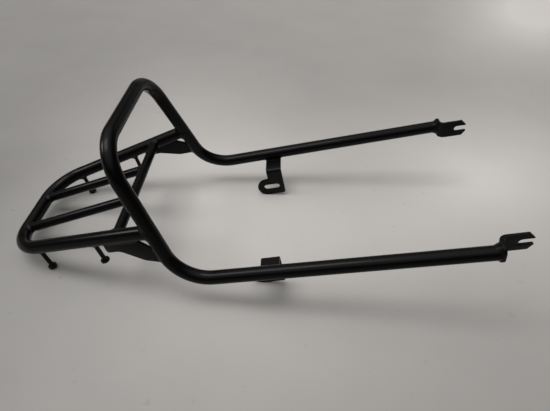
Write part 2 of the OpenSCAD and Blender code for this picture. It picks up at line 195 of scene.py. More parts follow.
def finish_piece(obj, nodes, slot, smooth_angle=40.0):
    """Shades obj smooth up to an angle, files it under its slot, whose coat it gets later, and lets it stand
    for nodes.
    """
    mesh = obj.data
    mesh.shade_smooth()
    mesh.set_sharp_from_angle(angle=math.radians(smooth_angle))
    bpy.context.scene.collection.objects.link(obj)
    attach(obj, "root")
    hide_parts(*nodes)
    PIECES.setdefault(slot, []).append(obj)


def grid_piece(name, grids, nodes, slot, close_rows=True, smooth_angle=40.0):
    """A piece made of one or more grids (rows, columns, 3) in drawing millimetres."""
    verts, quads, count = [], [], 0
    for grid in grids:
        rows, cols = grid.shape[:2]
        points = laid_down(grid.reshape(-1, 3))
        faces = grid_faces(rows, cols, close_rows)
        if signed_volume(points, faces) < 0:
            faces = faces[:, ::-1]
        verts.append(points)
        quads.append(faces + count)
        count += len(points)
    mesh = bpy.data.meshes.new(name)
    mesh.from_pydata(np.vstack(verts), [], np.vstack(quads))
    work = bmesh.new()
    work.from_mesh(mesh)
    bmesh.ops.remove_doubles(work, verts=work.verts, dist=1e-7)
    work.to_mesh(mesh)
    work.free()
    finish_piece(bpy.data.objects.new(name, mesh), nodes, slot, smooth_angle)


# %% [markdown]
# ## Centre lines
#
# A tube bender feeds straight tube and turns it round a former, so a centre line is
# straight stretches joined by arcs. Each arc starts at the set-back R tan(turn / 2)
# before the corner. The points are sampled closely on the arcs, and only at the ends of
# the straights, because a straight needs no more.

# %% Centre line with bends
BEND_STEPS = 48


def centre_line(corners, radii):
    """Points along a path with rounded corners: c + R (cos a u + sin a v) on each arc,
    where u points from the arc's centre to its start and v along the path there."""
    corners = np.asarray(corners, float)
    points = [corners[:1]]
    for i, radius in enumerate(radii, start=1):
        before = unit(corners[i] - corners[i - 1])
        after = unit(corners[i + 1] - corners[i])
        turn = math.acos(float(before @ after))
        inward = unit(after - (after @ before) * before)
        start = corners[i] - before * radius * math.tan(turn / 2)
        centre = start + inward * radius
        a = np.linspace(0.0, turn, BEND_STEPS + 1)[:, None]
        points.append(centre + radius * (np.cos(a) * -inward + np.sin(a) * before))
    points.append(corners[-1:])
    return np.vstack(points)


def path_frames(line):
    """Normal and binormal at each point. The normal is carried along by taking out what
    falls on the next tangent, so the tube's skin doesn't twist."""
    steps = unit(np.diff(line, axis=0))
    tangents = unit(np.vstack([steps[:1], steps[:-1] + steps[1:], steps[-1:]]))
    normal = np.cross(tangents[0], (0.0, 0.0, 1.0))
    normals = []
    for t in tangents:
        normal = unit(normal - (normal @ t) * t)
        normals.append(normal)
    normals = np.array(normals)
    return normals, np.cross(tangents, normals)


HOOP_LINE = centre_line(
    [ARM_END, ARM_CORNER, HOOP_CORNER, mirrored(HOOP_CORNER), mirrored(ARM_CORNER), mirrored(ARM_END)],
    [ARM_BEND_R, HOOP_BEND_R, HOOP_BEND_R, ARM_BEND_R])
DECK_LINE = centre_line(
    [DECK_START, DECK_CORNER, mirrored(DECK_CORNER), mirrored(DECK_START)], [DECK_BEND_R, DECK_BEND_R])
CROSS_LINE = np.array([CROSS_END, mirrored(CROSS_END)])
print("points on the hoop's centre line:", len(HOOP_LINE))

# %% [markdown]
# ## Where a tube meets its neighbour
#
# A coped end is cut so that it hugs the tube that it is welded to. Finding that cut is
# finding, for each line of the tube's wall, the point whose distance to the neighbour's
# centre line equals the neighbour's radius. Halving an interval again and again does it
# for all the lines at once, on straight tubes and bends alike.

# %% Distance to a centre line
def nearest_on(line, points):
    """The nearest point of a polyline to each point: every segment's foot of the
    perpendicular, kept within the segment, and the closest one of them."""
    points = np.asarray(points, float)
    a, d = line[:-1], np.diff(line, axis=0)
    rel = points[:, None, :] - a[None]
    share = np.clip((rel * d).sum(-1) / (d * d).sum(-1), 0.0, 1.0)
    foot = a + share[..., None] * d
    best = np.linalg.norm(points[:, None, :] - foot, axis=-1).argmin(axis=1)
    return foot[np.arange(len(points)), best]


def meet(points, direction, line, radius, reach=60.0):
    """Moves each point along direction to where it leaves the tube of the given radius
    round line: 40 halvings between the start, inside, and reach, outside."""
    direction = np.broadcast_to(direction, points.shape)
    low, high = np.zeros(len(points)), np.full(len(points), reach)
    for _ in range(40):
        middle = (low + high) / 2
        there = points + middle[:, None] * direction
        inside = np.linalg.norm(there - nearest_on(line, there), axis=1) < radius
        low, high = np.where(inside, middle, low), np.where(inside, high, middle)
    return points + high[:, None] * direction


# %% [markdown]
# ## Tubes
#
# A tube is a circle carried along its centre line. The grid runs out along the outside
# and back along the bore, so the wall has its true thickness and the shell is closed.
# The rings at both ends are then moved onto the neighbour's surface, or onto the plane
# of the saw cut.

# %% Tube shell
TUBE_COLS = 72


def ring_points(centres, normals, binormals, radius):
    """Circles c + r (cos a n + sin a b) round each centre."""
    a = np.linspace(0.0, 2 * np.pi, TUBE_COLS, endpoint=False)
    circle = np.cos(a)[None, :, None] * normals[:, None] + np.sin(a)[None, :, None] * binormals[:, None]
    return centres[:, None] + radius * circle


def tube_shell(line, radius, wall, hosts=()):
    """Closed grid of a hollow tube. hosts holds, for the first end and the last, the
    centre line and radius of the tube that it is coped onto. Without hosts the ends stay
    square to the centre line."""
    normals, binormals = path_frames(line)
    walls = []
    for r in (radius, radius - wall):
        rings = ring_points(line, normals, binormals, r)
        for (end, inner), (host_line, host_radius) in zip(((0, 1), (-1, -2)), hosts):
            along = unit(line[inner] - line[end])
            rings[end] = meet(rings[end], along, host_line, host_radius + COPE_GAP)
        walls.append(rings)
    return np.vstack([walls[0], walls[1][::-1]])


def sawn_at(rings, rows, x):
    """Slides the points of the given rings along their tube until they lie at x."""
    for end, inner in rows:
        along = unit(rings[inner].mean(axis=0) - rings[end].mean(axis=0))
        rings[end] += along * ((x - rings[end][:, 0]) / along[0])[:, None]
    return rings


# %% Make the five tubes
hoop_grid = tube_shell(HOOP_LINE, TUBE_R, TUBE_WALL)
last = len(HOOP_LINE) - 1
hoop_grid = sawn_at(hoop_grid, ((0, 1), (last, last - 1), (last + 1, last + 2), (-1, -2)), ARM_LENGTH)
grid_piece("hoop_skin", [hoop_grid], ["hoop_tube"], "hoop")

HOOP_LEFT = HOOP_LINE[:len(HOOP_LINE) // 2]
HOOP_RIGHT = mirrored(HOOP_LEFT)
deck_grid = tube_shell(DECK_LINE, TUBE_R, TUBE_WALL, ((HOOP_LEFT, TUBE_R), (HOOP_RIGHT, TUBE_R)))
grid_piece("deck_skin", [deck_grid], ["deck_side_tube"], "deck")

cross_grid = tube_shell(CROSS_LINE, ROD_R, ROD_WALL, ((DECK_LINE, TUBE_R), (DECK_LINE, TUBE_R)))
grid_piece("cross_tube_skin", [cross_grid], ["cross_tube"], "rods")

for side, sign in SIDES:
    rod_line = np.array([ROD_FRONT, ROD_REAR]) * (1.0, sign, 1.0)
    rod_grid = tube_shell(rod_line, ROD_R, ROD_WALL, ((CROSS_LINE, ROD_R), (DECK_LINE, TUBE_R)))
    grid_piece(f"rod_{side}_skin", [rod_grid], [f"rod_{side}"], "rods")
print("tubes made:", sum(len(pieces) for pieces in PIECES.values()))

# %% [markdown]
# ## Weld beads
#
# A bead is a string of small puddles that froze one after another, so it has a fillet's
# section and fine crescent ripples along it. Its two edges, the toes, lie on the two
# pieces that it joins. Every bead here is swept through a list of roots, the points of
# the inside corner, with one toe on each piece. The flat line between the toes is bowed
# to a fillet's face, the ripples are added to it, and the three hidden corners of the
# section are sunk into the metal so that no gap shows.

# %% Bead section
BEAD_STEPS = 9
RIPPLE_PITCH, RIPPLE_HEIGHT = 1.9, 0.13
HOLLOW, LOWEST_MOUND = 0.10, 0.30


def bead_grid(root, toe_a, toe_b, out, closed, seed, sink_b=None):
    """Rows of sections A (1 - s) + B s + (bow 4 s (1 - s) + ripple) out. The bow hollows
    the face by a tenth of its height, but keeps a low mound where the two toes lie far
    apart. The last two points of a row are sunk into the metal, the host's by sink_b."""
    out = unit(out)
    chord = ((toe_a + toe_b) / 2 - root) * out
    height = chord.sum(axis=1)
    size = np.linalg.norm(toe_a - root, axis=1)
    bow = np.maximum(LOWEST_MOUND * size - height, -HOLLOW * height)
    s = np.linspace(0.0, 1.0, BEAD_STEPS)
    steps = np.linalg.norm(np.diff(root, axis=0, append=root[:1] if closed else root[-1:]), axis=1)
    along = np.concatenate([[0.0], np.cumsum(steps)])
    count = max(round(along[-1] / RIPPLE_PITCH), 3)
    turn = np.pi * count * along[:-1, None] / along[-1] + seed
    waves = np.abs(np.sin(turn - 1.1 * (2 * s - 1) ** 2)) - 0.6
    uneven = 1.0 + 0.5 * np.sin(turn * 2 / count * 5 + 2.3 * seed)
    ripple = RIPPLE_HEIGHT * uneven * waves * np.sin(np.pi * s) ** 0.6
    lift = 4 * s * (1 - s) * bow[:, None] + ripple * np.minimum(size / 2.0, 1.0)[:, None]
    face = (1 - s)[None, :, None] * toe_a[:, None] + s[None, :, None] * toe_b[:, None]
    face = face + lift[..., None] * out[:, None]
    deep = np.minimum(0.35, size * 0.3)[:, None]
    under_b = toe_b + deep * (-out if sink_b is None else sink_b)
    return np.concatenate([(toe_a - deep * out)[:, None], face, under_b[:, None],
                           (root - deep * out)[:, None]], axis=1)


def taper(count, power=8):
    """Shares from 0 up to 1 and back to 0, rising fast, for a bead with two ends."""
    return (1.0 - np.abs(np.linspace(-1.0, 1.0, count)) ** power) ** 0.5


def uneven_leg(leg, count, seed):
    """Leg lengths that swell and shrink by a tenth, as a hand-held torch leaves them."""
    t = np.linspace(0.0, 2 * np.pi, count, endpoint=False)
    return leg * (1.0 + 0.06 * np.sin(3 * t + seed) + 0.045 * np.sin(7 * t + 2.7 * seed))


# %% Bead round a tube or peg
def round_bead(start, direction, radius, host_line, host_radius, leg, seed, host_leg=1.0, stations=190):
    """Closed bead where round stock of the given radius leaves a host tube. The root is
    found by halving. The host's toe lies along the projection of e - 0.35 d on the
    host's skin, with e out from the stock and d along it."""
    direction = unit(direction)
    n = unit(np.cross(direction, (0.0, 0.3, 1.0)))
    b = np.cross(direction, n)
    a = np.linspace(0.0, 2 * np.pi, stations, endpoint=False)[:, None]
    e = np.cos(a) * n + np.sin(a) * b
    root = meet(start + radius * e, direction, host_line, host_radius)
    skin = unit(root - nearest_on(host_line, root))
    lean = e - 0.35 * direction
    lean = unit(lean - (lean * skin).sum(axis=1, keepdims=True) * skin)
    size = uneven_leg(leg, stations, seed)[:, None]
    toe_a = root + size * direction
    toe_b = root + size * host_leg * lean
    centre = nearest_on(host_line, toe_b)
    toe_b = centre + host_radius * unit(toe_b - centre)
    return bead_grid(root, toe_a, toe_b, e + skin, True, seed)


def bead_piece(name, grids, node, close_rows):
    """A bead, shaded smooth over its ripples, that stands for one of the weld nodes."""
    grid_piece(name, grids, [node], "welds", close_rows, smooth_angle=75.0)


# %% Beads of the round joints
RAIL_WELD, ROD_WELD, PEG_WELD = 3.5, 3.5, 4.0
rail_way = unit(DECK_CORNER - DECK_START)
rod_way = unit(ROD_REAR - ROD_FRONT)


def two_sides(name, node, make, close_rows=True):
    """Makes a left piece and its mirror image, each with its own ripples."""
    for i, (side, sign) in enumerate(SIDES):
        grids = [grid * (1.0, sign, 1.0) for grid in make(1.3 + 2.1 * i)]
        bead_piece(f"{name}_{side}", grids, f"{node}_{side}", close_rows)


two_sides("bead_rail", "weld_rail", lambda seed: [
    round_bead(DECK_START, rail_way, TUBE_R, HOOP_LEFT, TUBE_R, RAIL_WELD, seed, 0.9, 230)])
two_sides("bead_cross", "weld_cross", lambda seed: [
    round_bead(CROSS_END, (0.0, -1.0, 0.0), ROD_R, DECK_LINE, TUBE_R, ROD_WELD, seed + 0.4)])
two_sides("bead_rod_front", "weld_rod_front", lambda seed: [
    round_bead(ROD_FRONT, rod_way, ROD_R, CROSS_LINE, ROD_R, ROD_WELD, seed + 0.9, 0.8)])
two_sides("bead_rod_rear", "weld_rod_rear", lambda seed: [
    round_bead(ROD_REAR, -rod_way, ROD_R, DECK_LINE, TUBE_R, ROD_WELD * 0.9, seed + 1.7, 0.8)])
for where_peg, back in PEG_BACK.items():
    two_sides(f"bead_peg_{where_peg}", f"weld_peg_{where_peg}", lambda seed: [
        round_bead(on_rail(-back), (0.0, 0.0, -1.0), PEG_R, DECK_LINE, TUBE_R, PEG_WELD, seed, 1.35, 120)])
print("beads so far:", len(PIECES["welds"]))

# %% [markdown]
# ## Gussets and their welds
#
# A gusset is a flat plate in the corner between the deck and the hoop, cut from sheet,
# with a clipped inner corner and a swept lower edge. It is welded on both faces. Its own
# axes make this easy to say: u back along the side tube, v down square to it, and w
# towards the middle of the rack. The edge along the bent leg isn't a line, so it is
# found in the plate's plane by the same halving as the tubes' ends.

# %% Gusset axes and edges
GUSSET_T, GUSSET_OUT, GUSSET_LENGTH, GUSSET_END = 4.0, 2.0, 92.0, 26.0
GUSSET_DEPTH, GUSSET_CLIP, GUSSET_WELD = 55.0, 39.0, 3.0
leg_way = unit(ARM_CORNER - HOOP_CORNER)
gusset_u = rail_way
gusset_v = unit(leg_way - (leg_way @ gusset_u) * gusset_u)
gusset_w = np.cross(gusset_u, gusset_v)
gusset_w = gusset_w if gusset_w[1] < 0 else -gusset_w
leg_off = unit(gusset_u - (gusset_u @ leg_way) * leg_way)


def on_leg_edge(s, w):
    """Where the plate's plane w meets the hoop's leg, s millimetres down the leg."""
    start = DECK_START + np.outer(s, leg_way) + w * gusset_w
    return meet(start, leg_off, HOOP_LEFT, TUBE_R)


def on_rail_edge(u, w):
    """Where the plate's plane w meets the side tube, u millimetres back along it."""
    start = DECK_START + np.outer(u, gusset_u) + w * gusset_w
    return start + math.sqrt(TUBE_R ** 2 - w ** 2) * gusset_v


both = gusset_u + gusset_v
leg_from = (GUSSET_CLIP - TUBE_R * (leg_off @ both)) / (leg_way @ both)
leg_to = (GUSSET_DEPTH - TUBE_R * (leg_off @ gusset_v)) / (leg_way @ gusset_v)
print("gusset weld on the leg in mm:", round(leg_from, 1), "to", round(leg_to, 1))

# %% Welds on both faces of a gusset
def plate_bead(root, way, face, host_line, leg, seed):
    """Open bead along a plate's edge, on the face that looks along face. way points away
    from the tube on the plate. The bead swells from nothing at both of its ends."""
    size = (uneven_leg(leg, len(root), seed) * taper(len(root)))[:, None]
    skin = unit(root - nearest_on(host_line, root))
    lean = face - (face * skin).sum(axis=1, keepdims=True) * skin
    toe_b = root + size * unit(lean)
    centre = nearest_on(host_line, toe_b)
    toe_b = centre + TUBE_R * unit(toe_b - centre)
    return bead_grid(root, root + size * way, toe_b, face + skin, False, seed)


def gusset_beads(seed, edge_of, way, start, end, host_line):
    """The beads on the plate's inner face, w = 0, and its outer face, w = -thickness."""
    places = np.linspace(start, end, 190)
    inner, outer = GUSSET_T / 2 - GUSSET_OUT, -GUSSET_T / 2 - GUSSET_OUT
    return [plate_bead(edge_of(places, inner), way, gusset_w, host_line, GUSSET_WELD, seed),
            plate_bead(edge_of(places, outer), way, -gusset_w, host_line, GUSSET_WELD, seed + 0.8)]


# The beads run on past the clipped corner and the lower end, and stop short of the rear
PAST_CLIP, PAST_LOW, SHORT_OF_REAR = 2.0, 1.5, 2.5
rail_from, rail_to = GUSSET_CLIP - TUBE_R - PAST_CLIP, GUSSET_LENGTH - SHORT_OF_REAR
two_sides("bead_gusset_rail", "weld_gusset_rail", lambda seed: gusset_beads(
    seed, on_rail_edge, gusset_v, rail_from, rail_to, DECK_LINE), False)
two_sides("bead_gusset_leg", "weld_gusset_leg", lambda seed: gusset_beads(
    seed, on_leg_edge, leg_off, leg_from - PAST_CLIP, leg_to + PAST_LOW, HOOP_LEFT), False)

# %% [markdown]
# ## Flat bar and sheet
#
# Brackets, tabs and gussets start as flat blanks. Each is drawn as an outline with any
# holes, thickened with rounded edges, and then bent if the real one is bent. The edges
# matter more than they seem to: a plate's rounded edge is what catches the light. A
# ready-made bevel would do for a plain plate, but sweeping a small quarter circle round
# the outline is exact, and works for the slots too.

# %% Outlines
ARC_STEPS = 10


def rounded_outline(corners):
    """Closed outline from (x, y, radius) corners. Each corner with a radius r becomes an
    arc that starts r tan(turn / 2) before it."""
    corners = np.asarray(corners, float)
    points = []
    for i, (x, y, r) in enumerate(corners):
        q = np.array((x, y))
        a = unit(corners[i - 1, :2] - q)
        b = unit(corners[(i + 1) % len(corners), :2] - q)
        if r == 0:
            points.append(q[None])
            continue
        half = math.acos(float(np.clip(a @ b, -1, 1))) / 2
        centre = q + unit(a + b) * r / math.sin(half)
        start, end = q + a * r / math.tan(half), q + b * r / math.tan(half)
        sweep = math.pi - 2 * half
        k = np.linspace(0.0, 1.0, ARC_STEPS + 1)[:, None]
        arm_a, arm_b = start - centre, end - centre
        arc = (np.sin((1 - k) * sweep) * arm_a + np.sin(k * sweep) * arm_b) / math.sin(sweep)
        points.append(centre + arc)
    return np.vstack(points)


def finer(loop, longest):
    """Adds points to a closed outline so that no side is longer than longest."""
    following = np.roll(loop, -1, axis=0)
    counts = np.maximum(np.ceil(np.linalg.norm(following - loop, axis=1) / longest).astype(int), 1)
    return np.vstack([a + (b - a) * np.arange(n)[:, None] / n for a, b, n in zip(loop, following, counts)])


# %% Plate with rounded edges
EDGE_R, LONGEST_SIDE = 0.7, 4.0


def plate_mesh(loops, thickness):
    """Flat plate in x, y with its middle at z = 0. loops are the outline and its holes.
    The edge's section is (r (1 - sin a), half - r (1 - cos a)) from the face out."""
    half, a = thickness / 2, np.radians((0.0, 30.0, 60.0, 90.0))
    inset = EDGE_R * (1 - np.sin(a))
    inset = np.concatenate([inset, inset[::-1]])
    level = half - EDGE_R * (1 - np.cos(a))
    level = np.concatenate([level, -level[::-1]])
    rows = len(level)
    verts, faces, tops, count = [], [], [], 0
    for i, loop in enumerate(loops):
        loop = finer(loop, LONGEST_SIDE)
        area = (loop[:, 0] * np.roll(loop[:, 1], -1) - np.roll(loop[:, 0], -1) * loop[:, 1]).sum()
        loop = loop if (area > 0) == (i == 0) else loop[::-1]
        way = unit(unit(loop - np.roll(loop, 1, axis=0)) + unit(np.roll(loop, -1, axis=0) - loop))
        normal = np.stack([way[:, 1], -way[:, 0]], axis=1)
        rings = loop[None] - inset[:, None, None] * normal[None]
        rings = np.concatenate([rings, np.broadcast_to(level[:, None, None], (rows, len(loop), 1))], axis=2)
        verts.append(rings.reshape(-1, 3))
        faces += grid_faces(rows, len(loop), first=count).tolist()
        tops.append((count, len(loop)))
        count += rows * len(loop)
    verts = np.vstack(verts)
    for row in (0, rows - 1):
        order = np.concatenate([np.arange(n) + first + row * n for first, n in tops])
        rims = [[Vector(v) for v in verts[first + row * n:first + row * n + n]] for first, n in tops]
        faces += [[int(order[k]) for k in tri] for tri in tessellate_polygon(rims)]
    work = bmesh.new()
    mesh = bpy.data.meshes.new("blank")
    mesh.from_pydata(verts, [], faces)
    work.from_mesh(mesh)
    bpy.data.meshes.remove(mesh)
    bmesh.ops.recalc_face_normals(work, faces=work.faces)
    return work


def plate_piece(name, work, shape, node, slot, cuts=()):
    """Cuts a flat plate across at each x in cuts, moves its points with shape, and makes
    it a piece that stands for node."""
    for x in cuts:
        bmesh.ops.bisect_plane(work, geom=work.verts[:] + work.edges[:] + work.faces[:], dist=1e-6,
                               plane_co=(x, 0.0, 0.0), plane_no=(1.0, 0.0, 0.0))
    mesh = bpy.data.meshes.new(name)
    work.to_mesh(mesh)
    work.free()
    flat = np.empty(len(mesh.vertices) * 3)
    mesh.vertices.foreach_get("co", flat)
    mesh.vertices.foreach_set("co", laid_down(shape(flat.reshape(-1, 3))).ravel())
    work = bmesh.new()
    work.from_mesh(mesh)
    bmesh.ops.recalc_face_normals(work, faces=work.faces)
    work.to_mesh(mesh)
    work.free()
    mesh.update()
    finish_piece(bpy.data.objects.new(name, mesh), [node], slot, smooth_angle=35.0)


# %% Gusset plates
# How deep the welded edges are let into the tubes, and the radii of the rear end and sweep
SUNK, GUSSET_REAR_R, GUSSET_SWEEP_R = 0.7, 5.0, 25.0
leg_places = np.linspace(leg_from, leg_to, 24)
leg_points = on_leg_edge(leg_places, -GUSSET_OUT) - DECK_START - SUNK * leg_off
leg_edge = np.stack([leg_points @ gusset_u, leg_points @ gusset_v], axis=1)
rail_v = math.sqrt(TUBE_R ** 2 - GUSSET_OUT ** 2) - SUNK
swept = rounded_outline([(GUSSET_CLIP - rail_v, rail_v, 0), (GUSSET_LENGTH - 0.5, rail_v, 0),
                         (GUSSET_LENGTH, GUSSET_END, GUSSET_REAR_R),
                         (0.75 * GUSSET_LENGTH, GUSSET_END - 0.5, GUSSET_SWEEP_R),
                         (0.36 * GUSSET_LENGTH, GUSSET_DEPTH - 7, GUSSET_SWEEP_R), (*leg_edge[-1], 0)])
gusset_loop = np.vstack([swept, leg_edge[-2::-1]])


def in_gusset(side):
    """Plate points (u, v, thickness) to the rack, on one side."""
    def shape(p):
        points = DECK_START + p[:, :1] * gusset_u + p[:, 1:2] * gusset_v + (p[:, 2:] - GUSSET_OUT) * gusset_w
        return points * (1.0, side, 1.0)
    return shape


for side, sign in SIDES:
    plate_piece(f"gusset_plate_{side}", plate_mesh([gusset_loop], GUSSET_T), in_gusset(sign),
                f"gusset_{side}", "gussets")

# %% [markdown]
# ## Bent brackets
#
# A bracket is flat bar folded square round a small radius. Bar keeps its length along
# the middle of its thickness, so the blank is drawn flat with a coordinate s along that
# middle. Up to the fold a point keeps its s. In the fold s becomes an angle, and past it
# s runs on along the second leg. The blanks are cut across the fold in many thin strips
# first, so that the fold comes out round.

# %% Fork brackets
FORK_T, FORK_INSET, FORK_BEND_R = 5.0, 16.0, 7.0
SLOT_W, SLOT_DEPTH = 11.0, 22.0
fork_mid = FORK_BEND_R + FORK_T / 2
fork_turn = FORK_BEND_R + FORK_T
fork_fold = TUBE_R + FORK_INSET + FORK_T / 2 - fork_turn
fork_fold_end = fork_fold + fork_mid * math.pi / 2
fork_end = fork_fold_end + FORK_REACH - fork_turn


def fork_blank():
    """Outline of a fork bracket: the end is rounded like the tube, and the tip is slotted
    and bevelled. Of the tip's helping outline only the first two corners' arcs are used."""
    a = np.linspace(0.0, math.pi / 2, 13)
    top, corner = FORK_HEIGHT / 2, FORK_HEIGHT / 2 - TUBE_R
    cap = np.stack([TUBE_R - TUBE_R * np.cos(a), corner + TUBE_R * np.sin(a)], axis=1)
    bevel_x, bevel_z = FORK_BEVEL
    point = SLOT_W / 2
    tip_x = fork_end + bevel_x * (top - bevel_z - point) / bevel_z
    tip = rounded_outline([(fork_end - bevel_x, top, 1.5), (tip_x, point, 0.8),
                           (fork_end - SLOT_DEPTH + point, point, 0), (fork_end - SLOT_DEPTH, 0.0, 0),
                           (TUBE_R, 0.0, 0), (TUBE_R, top, 0)])[:2 * (ARC_STEPS + 1)]
    b = np.linspace(math.pi / 2, math.pi, 17)[:-1]
    slot = np.stack([fork_end - SLOT_DEPTH + point + point * np.cos(b), point * np.sin(b)], axis=1)
    upper = np.vstack([cap, tip, slot, [(fork_end - SLOT_DEPTH, 0.0)]])
    lower = (upper * (1.0, -1.0))[::-1][1:]
    return np.vstack([upper, lower])


def fork_shape(side):
    """Folds the blank at the arm's end: across it, then round the fold's centre, then on
    along the fork. n is the distance out from the bar's middle."""
    def shape(p):
        s, z, n = p.T
        a = np.clip((s - fork_fold) / fork_mid, 0.0, math.pi / 2)
        before, after = np.minimum(s - fork_fold, 0.0), np.maximum(s - fork_fold_end, 0.0)
        x = fork_turn - (fork_mid + n) * np.cos(a) + after
        y = TUBE_R - fork_fold - (fork_mid + n) * np.sin(a) - before
        return (np.stack([x, y, z], axis=1) + ARM_END) * (1.0, side, 1.0)
    return shape


for side, sign in SIDES:
    plate_piece(f"fork_plate_{side}", plate_mesh([fork_blank()], FORK_T), fork_shape(sign),
                f"fork_bracket_{side}", "forks", np.linspace(fork_fold, fork_fold_end, 15))

# %% Arm tabs
TAB_SPAN, TAB_FORWARD, TAB_W, TAB_T = 228.0, 137.0, 30.0, 4.0
TAB_SLOT_W, TAB_SLOT_L, TAB_BEND_R, TAB_CORNER_R = 12.0, 32.0, 3.0, 5.0
TAB_PAST, TAB_LET_IN, TAB_WELD = 3.0, 0.8, 3.0
arm_slope = (ARM_SPAN[1] - ARM_SPAN[0]) / 2 / ARM_LENGTH
arm_y = ARM_SPAN[0] / 2 + arm_slope * TAB_FORWARD
tab_top = TAB_LET_IN - TUBE_R
tab_mid, tab_turn = TAB_BEND_R + TAB_T / 2, TAB_BEND_R + TAB_T
fold_y = TAB_SPAN / 2 - TAB_T / 2 + tab_turn
tab_fold = arm_y + TAB_PAST - fold_y
tab_fold_end = tab_fold + tab_mid * math.pi / 2
foot_s = tab_fold_end + tab_top - tab_turn - TAB_FOOT[1]
low_s = foot_s + TAB_FOOT_R
rear_x, front_x = TAB_FORWARD - TAB_W / 2, TAB_FORWARD + TAB_W / 2


def tab_blank():
    """Outline and slot of a tab in (s, x): the bar, the foot's round end and its slot."""
    strip = rounded_outline([(0.0, rear_x, 1.0), (0.0, front_x, 1.0), (low_s, front_x, TAB_CORNER_R),
                             (low_s, TAB_FOOT[0], 0)])
    a = np.linspace(0.0, math.pi, 41)[1:]
    lobe = np.stack([foot_s + TAB_FOOT_R * np.cos(a), TAB_FOOT[0] - TAB_FOOT_R * np.sin(a)], axis=1)
    inner = rounded_outline([(foot_s - TAB_FOOT_R, TAB_FOOT[0], 0), (foot_s - TAB_FOOT_R, rear_x, 3.5),
                             (tab_fold, rear_x, 0)])[1:-1]
    r, length = TAB_SLOT_W / 2, TAB_SLOT_L - TAB_SLOT_W
    b = np.linspace(0.0, math.pi, 21)
    ends = [np.stack([foot_s + r * np.cos(b), TAB_FOOT[0] - r * np.sin(b)], axis=1),
            np.stack([foot_s - r * np.cos(b), TAB_FOOT[0] + length + r * np.sin(b)], axis=1)]
    return [np.vstack([strip, lobe, inner]), np.vstack(ends)]


def tab_shape(side):
    """Folds the blank down from under the arm, round the fold's centre."""
    def shape(p):
        s, x, n = p.T
        a = np.clip((s - tab_fold) / tab_mid, 0.0, math.pi / 2)
        before, after = np.minimum(s - tab_fold, 0.0), np.maximum(s - tab_fold_end, 0.0)
        y = fold_y - (tab_mid + n) * np.sin(a) - before
        z = tab_top - tab_turn + (tab_mid + n) * np.cos(a) - after
        return np.stack([x, y, z], axis=1) * (1.0, side, 1.0)
    return shape


for side, sign in SIDES:
    plate_piece(f"tab_plate_{side}", plate_mesh(tab_blank(), TAB_T), tab_shape(sign),
                f"arm_tab_{side}", "tabs", np.linspace(tab_fold, tab_fold_end, 13))

# %% Weld behind a fork bracket
# The toe's least and greatest reach from the tube, and how far it stays inside the edge
TOE_REACH, EDGE_KEPT, SKIN_KEPT = (0.25, 4.2), 0.9, 0.06


def fork_bead(seed):
    """Bead behind the bracket: its root is the tube's end, and its outer toe spreads over
    the bracket's back, as far as that reaches beyond the tube in each direction."""
    a = np.linspace(0.0, 2 * np.pi, 190, endpoint=False)
    e = np.stack([np.zeros_like(a), np.cos(a), np.sin(a)], axis=1)
    corner = FORK_HEIGHT / 2 - TUBE_R
    room_out = corner * np.abs(np.sin(a)) + np.sqrt(TUBE_R ** 2 - (corner * np.cos(a)) ** 2) - TUBE_R
    room_in = (FORK_HEIGHT / 2) / np.maximum(np.abs(np.sin(a)), 0.6) - TUBE_R
    room = np.where(np.cos(a) > 0, room_out, np.minimum(room_in, 4.6))
    spread_b = np.clip(room - EDGE_KEPT, *TOE_REACH)[:, None] * uneven_leg(1.0, 190, seed)[:, None]

    def back_of_bracket(points):
        dip = np.minimum(points[:, 1] - ARM_END[1] - (TUBE_R - fork_fold), 0.0)
        out = points.copy()
        out[:, 0] = ARM_LENGTH + fork_turn - np.sqrt(fork_turn ** 2 - dip ** 2)
        return out

    root = back_of_bracket(ARM_END + TUBE_R * e)
    toe_b = back_of_bracket(ARM_END + (TUBE_R + spread_b) * e)
    back = -unit(np.array((1.0, arm_slope, 0.0)))
    toe_a = root + back * (1.9 * spread_b + 0.3)
    bead = bead_grid(root, toe_a, toe_b, e + (-0.6, 0.0, 0.0), True, seed)
    bead[..., 1] = np.minimum(bead[..., 1], ARM_END[1] + TUBE_R - SKIN_KEPT)
    return [bead]


two_sides("bead_fork", "weld_fork", fork_bead)

# %% Welds of an arm tab
# Where the bead round the bar's end starts under the arm, and how it rounds the corners
UNDER_ARM, BEAD_CORNER_R = -5.0, 1.6


def arm_middle(x):
    """Points of the left arm's centre line at the given x."""
    return np.stack([x, ARM_SPAN[0] / 2 + arm_slope * x, np.zeros_like(x)], axis=1)


def bar_end_bead(seed):
    """Bead round the three outer sides of the bar's end, under the arm. Its plan holds x
    and the distance out from the arm's middle, and the tube's circle gives the height."""
    start, end = (rear_x, UNDER_ARM), (front_x, UNDER_ARM)
    plan = finer(rounded_outline([(*start, 0), (rear_x, TAB_PAST, BEAD_CORNER_R),
                                  (front_x, TAB_PAST, BEAD_CORNER_R), (*end, 0)]), 0.35)
    plan = plan[:np.flatnonzero((plan == end).all(axis=1))[0] + 1]
    way = unit(np.gradient(plan, axis=0))
    outward = np.stack([-way[:, 1], way[:, 0], np.zeros(len(way))], axis=1)
    size = (uneven_leg(TAB_WELD * 0.9, len(plan), seed) * taper(len(plan), 10))[:, None]

    def under_arm(points):
        x, across = points.T
        return arm_middle(x) + np.stack([0 * x, across, -np.sqrt(TUBE_R ** 2 - across ** 2)], axis=1)

    root = under_arm(plan)
    skin = np.stack([np.zeros(len(plan)), plan[:, 1], root[:, 2]], axis=1) / TUBE_R
    toe_b = under_arm(plan + size * outward[:, :2])
    return bead_grid(root, root + size * (0.0, 0.0, -0.9), toe_b, outward + skin, False, seed)


